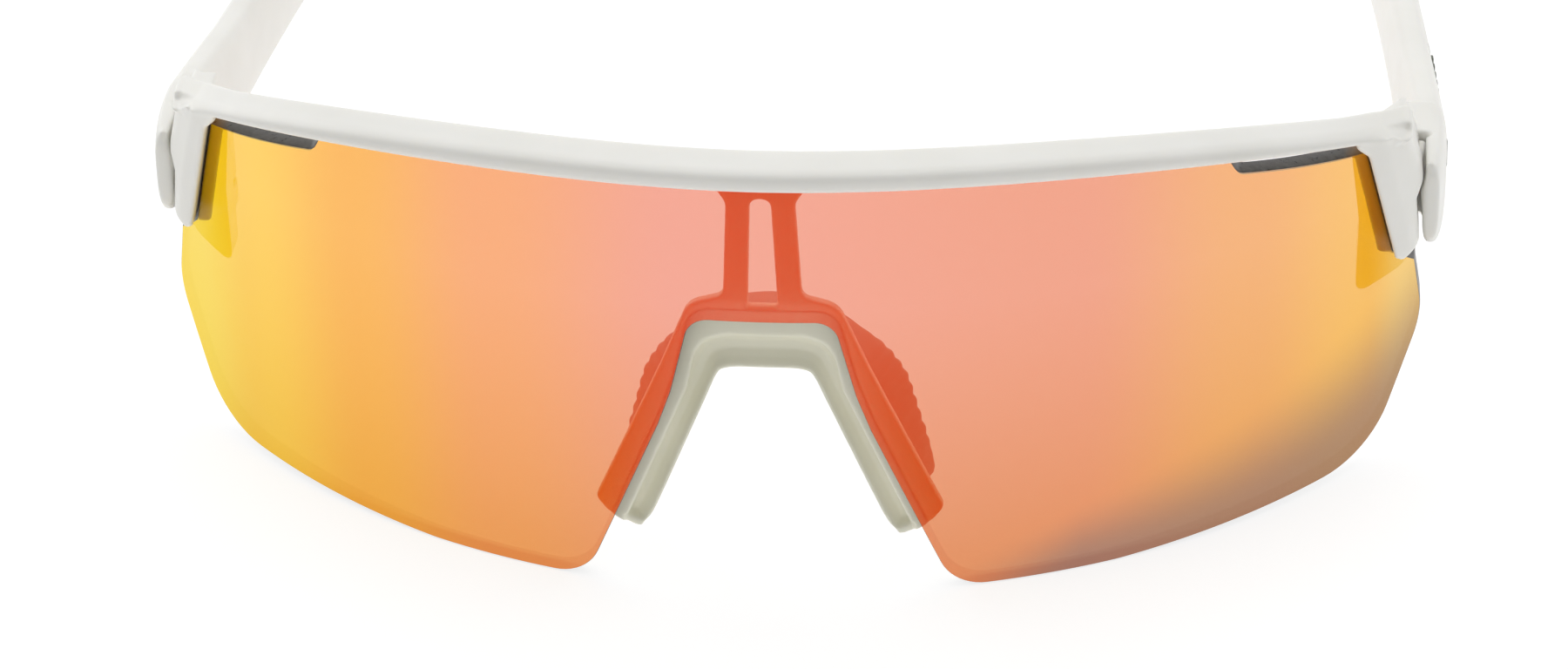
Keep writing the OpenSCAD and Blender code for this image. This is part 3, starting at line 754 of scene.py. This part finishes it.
# The tab on the arm's front end, as (x, z, radius)
TAB = [(70.45, 31.7, 0.2), (70.95, 26.5, 0.3), (71.7, 26.5, 0.3), (CAP_OUT, CAP_HIGH, 0.4),
       (70.95, CAP_HIGH, 0.4), (70.95, 33.3, 0.2)]
TAB_FRONT, TAB_BACK = 37.0, 43.4


def arm_x(y):
    """The x of the left arm's outer face, which curls in at the front end."""
    t = (y - 40) / 100
    return ARM_OUT - 3.4 * t - 4 * t * t - CURL * (max(0.0, CURL_END - y) / CURL_L) ** 2


def arm_ring(y, grow=0.0, squeeze=1.0, sides=56):
    sigma = float(np.interp(y, [36.3, 42, 150, 160], [0.25, 1.5, 1.5, 0.5]))
    w = float(smooth_table(y, ARM_W, min(sigma, 0.8))) / 2
    low = float(smooth_table(y, ARM_LOW, sigma))
    h = float(smooth_table(y, ARM_HALF, sigma))
    a = np.linspace(0, 2 * math.pi, sides, endpoint=False)
    c, s = np.cos(a), np.sin(a)
    x = arm_x(y) - w + (w + grow) * squeeze * np.sign(c) * np.abs(c) ** SECTION_POWER
    z = low + h + (h + grow * 0.5) * squeeze * np.sign(s) * np.abs(s) ** SECTION_POWER
    return np.stack([x, np.full(sides, y), z], 1)


def arm_body():
    """The left arm's solids, which the remesh melts into one."""
    ys = np.concatenate([np.linspace(TUBE_FRONT, 46, 40), np.linspace(46.5, GRIP_FRONT, 110)])
    nose = ((0.8, -0.55), (0.9, -0.42), (0.97, -0.2))
    rings = [arm_ring(TUBE_FRONT, squeeze=k) + (0, d, 0) for k, d in nose]
    tube = skin(rings + [arm_ring(y) for y in ys])
    knuckle = rod((PIN_X, PIN_Y, KNUCKLE_LOW), (PIN_X, PIN_Y, KNUCKLE_HIGH), EAR_R, 64, 0.25, 0.8)
    web = block((PIN_X + 1.2, PIN_Y - 0.7, KNUCKLE_LOW), (WEB_OUT, PIN_Y + 2.5, KNUCKLE_HIGH))
    heel = block((PIN_X + 2, PIN_Y + 1, KNUCKLE_LOW), (WEB_OUT, PIN_Y + 5.6, KNUCKLE_HIGH))
    cap = rod((PIN_X, PIN_Y, CAP_LOW), (PIN_X, PIN_Y, CAP_HIGH), EAR_R, 64, 0.3)
    cap_web = block((PIN_X, PIN_Y - 1.3, CAP_LOW), (CAP_OUT, PIN_Y + 6, CAP_HIGH))
    tab = skin([[(x, y, z) for x, z in rounded(TAB, 4)[::-1]] for y in (TAB_FRONT, TAB_BACK)])
    return [tube, knuckle, web, heel, cap, cap_web, tab]


BADGE_Y, BADGE_Z, BADGE_L, BADGE_H, BADGE_T = 62.0, 28.6, 26.0, 4.4, 0.9


def on_badge(points):
    """From the badge's own frame to the lens's frame, for the wearer's left arm."""
    turn = Matrix.Rotation(math.radians(3.4), 3, "Z") @ Matrix.Rotation(math.radians(-1.2), 3, "X")
    p = np.asarray(points, float) @ np.array(turn).T
    return p + (arm_x(BADGE_Y) - BADGE_T, BADGE_Y, BADGE_Z)


def badge_meshes():
    """A rounded plate with slanted ribs, like moulded trim."""
    def slab(outline, x0, x1, edge):
        loop = resample(rounded(outline, 5), 0.4)
        loop = loop if area_of(loop) > 0 else loop[::-1]
        nr = inward(loop)
        rows = [(edge, x0), (0.0, x0 + 0.02), (0.0, x1 - edge), (edge * 0.3, x1 - edge * 0.3), (edge, x1)]
        rings = [[(x, *(p + q * k)) for p, q in zip(loop, nr)] for k, x in rows]
        v, f = skin(rings)
        return on_badge(v), f
    l, h = BADGE_L / 2 - 0.2, BADGE_H / 2 - 0.2
    edge, rib_half, lean = 0.12, 0.5, 0.35
    parts = [slab([(-l, -h, 1.2), (l, -h, 1.2), (l, h, 1.2), (-l, h, 1.2)], 0.05, BADGE_T - 0.3, edge)]
    low, high = 0.5 - h, h - 0.5
    for i in range(-5, 6):
        y = i * BADGE_L / 12.5
        rib = [(y - rib_half - lean, low, 0.2), (y + rib_half - lean, low, 0.2),
               (y + rib_half + lean, high, 0.2), (y - rib_half + lean, high, 0.2)]
        parts.append(slab(rib, BADGE_T - 0.4, BADGE_T + 0.08, edge))
    return parts


def cut(obj, tool):
    """Takes a tool's shape out of a piece."""
    mod = obj.modifiers.new("cut", "BOOLEAN")
    mod.operation = "DIFFERENCE"
    mod.solver = "EXACT"
    mod.object = tool
    apply_modifiers(obj)
    bpy.data.objects.remove(tool)


# Shallow grooves round the ear grip
GROOVES_FRONT, GROOVES_BACK, GROOVE_PITCH, GROOVE_DEPTH = 124, 150, 2.6, 0.16


def grip_body():
    """The left ear grip: a sleeve that follows the arm's own section and closes over its rear end."""
    ys = np.concatenate([np.linspace(GRIP_FRONT + 0.5, 160, 190), np.linspace(160.2, 164.9, 40)])
    rings = [arm_ring(GRIP_FRONT + 0.08), arm_ring(GRIP_FRONT + 0.12, grow=0.12)]
    for y in ys:
        groove = 0.0
        if GROOVES_FRONT < y < GROOVES_BACK:
            turn = 2 * math.pi * (y - GROOVES_FRONT) / GROOVE_PITCH
            groove = GROOVE_DEPTH * (0.5 - 0.5 * math.cos(turn)) ** 2
        rings.append(arm_ring(y, grow=0.2 - groove))
    last = rings[-1]
    mid = last.mean(0)
    rings += [mid + (last - mid) * k + (0, d, 0) for k, d in ((0.7, 0.04), (0.35, 0.07))]
    return skin(rings)


def arms():
    """Both arms with their badges and grips: the right one is the left one's mirror image."""
    for side, sign in (("left", 1), ("right", -1)):
        body = "temple_" + side
        flip = (lambda part: part) if sign > 0 else mirror_mesh
        obj = mesh_object("arm_shell_" + side, *join_meshes([flip(p) for p in arm_body()]))
        remesh(obj, 0.24, 5)
        l, h = BADGE_L / 2, BADGE_H / 2
        pocket = block((0, -l, -h), (3, l, h))
        pocket = flip((on_badge(pocket[0]), pocket[1]))
        cut(obj, mesh_object("pocket", *pocket, smooth=False))
        finish_piece(obj, body, FRAME_WHITE.material, "temple_arm_" + side)
        badge = mesh_object("badge_trim_" + side, *join_meshes([flip(p) for p in badge_meshes()]))
        finish_piece(badge, body, BADGE_PLASTIC.material, "temple_badge_" + side)
        grip = mesh_object("grip_sleeve_" + side, *flip(grip_body()))
        finish_piece(grip, body, GRIP_RUBBER.material, "ear_grip_" + side)


# ---------------------------------------------------------------- CAD nodes that stay

KEPT = {"hinge_block_left": FRAME_WHITE.material, "hinge_block_right": FRAME_WHITE.material,
        "block_screws": STEEL, "hinge_screws": STEEL, "hinge_inserts": BRASS,
        "hinge_washers": WASHER_PLASTIC.material, "tip_core_left": STEEL, "tip_core_right": STEEL}


def kept_nodes():
    """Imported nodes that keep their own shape: only their materials and softer edges are new."""
    for name, material in KEPT.items():
        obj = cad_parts[name]
        obj.data.materials.clear()
        obj.data.materials.append(material)
        bevel = obj.modifiers.new("soft_edges", "BEVEL")
        bevel.width = 0.12 * MM
        bevel.segments = 2
        bevel.limit_method = "ANGLE"


# ---------------------------------------------------------------- stage

# The tent is dimmest low in front of the glasses and brightest high behind them
TENT_TILT = (0.0, 0.42, 0.9)
TENT_DIM, TENT_BRIGHT = 0.02, 0.97
FLOOR_GLOW = 0.76
FLOOR_Z = -0.00006


def floor():
    """A pale floor that also glows, so that it burns out to white and holds only a faint shadow."""
    size = 3.0
    mesh = bpy.data.meshes.new("floor")
    corners = [(-size, -size), (size, -size), (size, size), (-size, size)]
    mesh.from_pydata([(x, y, FLOOR_Z) for x, y in corners], [], [(0, 1, 2, 3)])
    obj = bpy.data.objects.new("floor", mesh)
    bpy.context.scene.collection.objects.link(obj)
    m = Nodes("pale_floor")
    m.set(Base_Color=m.ramp(m.noise(3, 2), [(0.3, (0.35, 0.35, 0.35)), (0.7, (0.37, 0.37, 0.37))]))
    m.set(Roughness=0.9)
    m.shader.inputs["Emission Color"].default_value = (1, 1, 1, 1)
    m.shader.inputs["Emission Strength"].default_value = FLOOR_GLOW
    m.shader.inputs["Specular IOR Level"].default_value = 0.1
    mesh.materials.append(m.material)


# Soft boxes: name, place, target, size and power
SOFT_BOXES = [("overhead", (0.0, 0.3, 0.9), (0, 0, 0.02), (1.0, 0.8), 1.6),
              ("side_right", (-0.75, 0.55, 0.35), (0, 0.02, 0.03), (0.6, 0.6), 1.7),
              ("side_left", (0.75, 0.55, 0.35), (0, 0.02, 0.03), (0.6, 0.6), 0.7)]


def area_light(name, place, target, size, power):
    data = bpy.data.lights.new(name, "AREA")
    data.shape = "RECTANGLE"
    data.size, data.size_y = size
    data.energy = power
    obj = bpy.data.objects.new(name, data)
    obj.location = place
    obj.rotation_euler = (Vector(target) - Vector(place)).to_track_quat("-Z", "Y").to_euler()
    bpy.context.scene.collection.objects.link(obj)


def lights():
    """A white tent that is brighter overhead and behind than in front, and three soft boxes."""
    world = bpy.data.worlds.new("studio")
    bpy.context.scene.world = world
    world.use_nodes = True
    tree = world.node_tree
    coords = tree.nodes.new("ShaderNodeTexCoord")
    facing = tree.nodes.new("ShaderNodeVectorMath")
    facing.operation = "DOT_PRODUCT"
    facing.inputs[1].default_value = TENT_TILT
    ramp = tree.nodes.new("ShaderNodeMapRange")
    ramp.inputs["From Min"].default_value, ramp.inputs["From Max"].default_value = -0.3, 0.9
    ramp.inputs["To Min"].default_value, ramp.inputs["To Max"].default_value = TENT_DIM, TENT_BRIGHT
    tree.links.new(coords.outputs["Generated"], facing.inputs[0])
    tree.links.new(facing.outputs["Value"], ramp.inputs["Value"])
    tree.nodes["Background"].inputs["Color"].default_value = (1, 1, 1, 1)
    tree.links.new(ramp.outputs[0], tree.nodes["Background"].inputs["Strength"])
    for box in SOFT_BOXES:
        area_light(*box)


def camera():
    """A long lens looks from in front and above, a little from the wearer's left."""
    yaw, pitch, roll = math.radians(5.731), math.radians(31.0), math.radians(-1.341)
    distance, target = 570.96, Vector((2.476, 0, 33.222))
    back = Vector((math.sin(yaw) * math.cos(pitch), -math.cos(yaw) * math.cos(pitch), math.sin(pitch)))
    right = Vector((math.cos(yaw), math.sin(yaw), 0))
    up = back.cross(right)
    right, up = right * math.cos(roll) + up * math.sin(roll), up * math.cos(roll) - right * math.sin(roll)
    place = (target + back * distance + Vector((0, FRONT_Y, 0))) * MM
    data = bpy.data.cameras.new("camera")
    data.lens = 123.05
    data.sensor_width = 36
    data.clip_start = 0.01
    obj = bpy.data.objects.new("camera", data)
    turn = Matrix((right, up, back)).transposed()
    obj.matrix_world = Matrix.Translation(place) @ turn.to_4x4()
    bpy.context.scene.collection.objects.link(obj)
    bpy.context.scene.camera = obj


camera()
lights()
floor()
front_frame()
lens()
nose_bridge()
nose_saddle()
arms()
kept_nodes()

bpy.context.scene.view_settings.view_transform = "Standard"
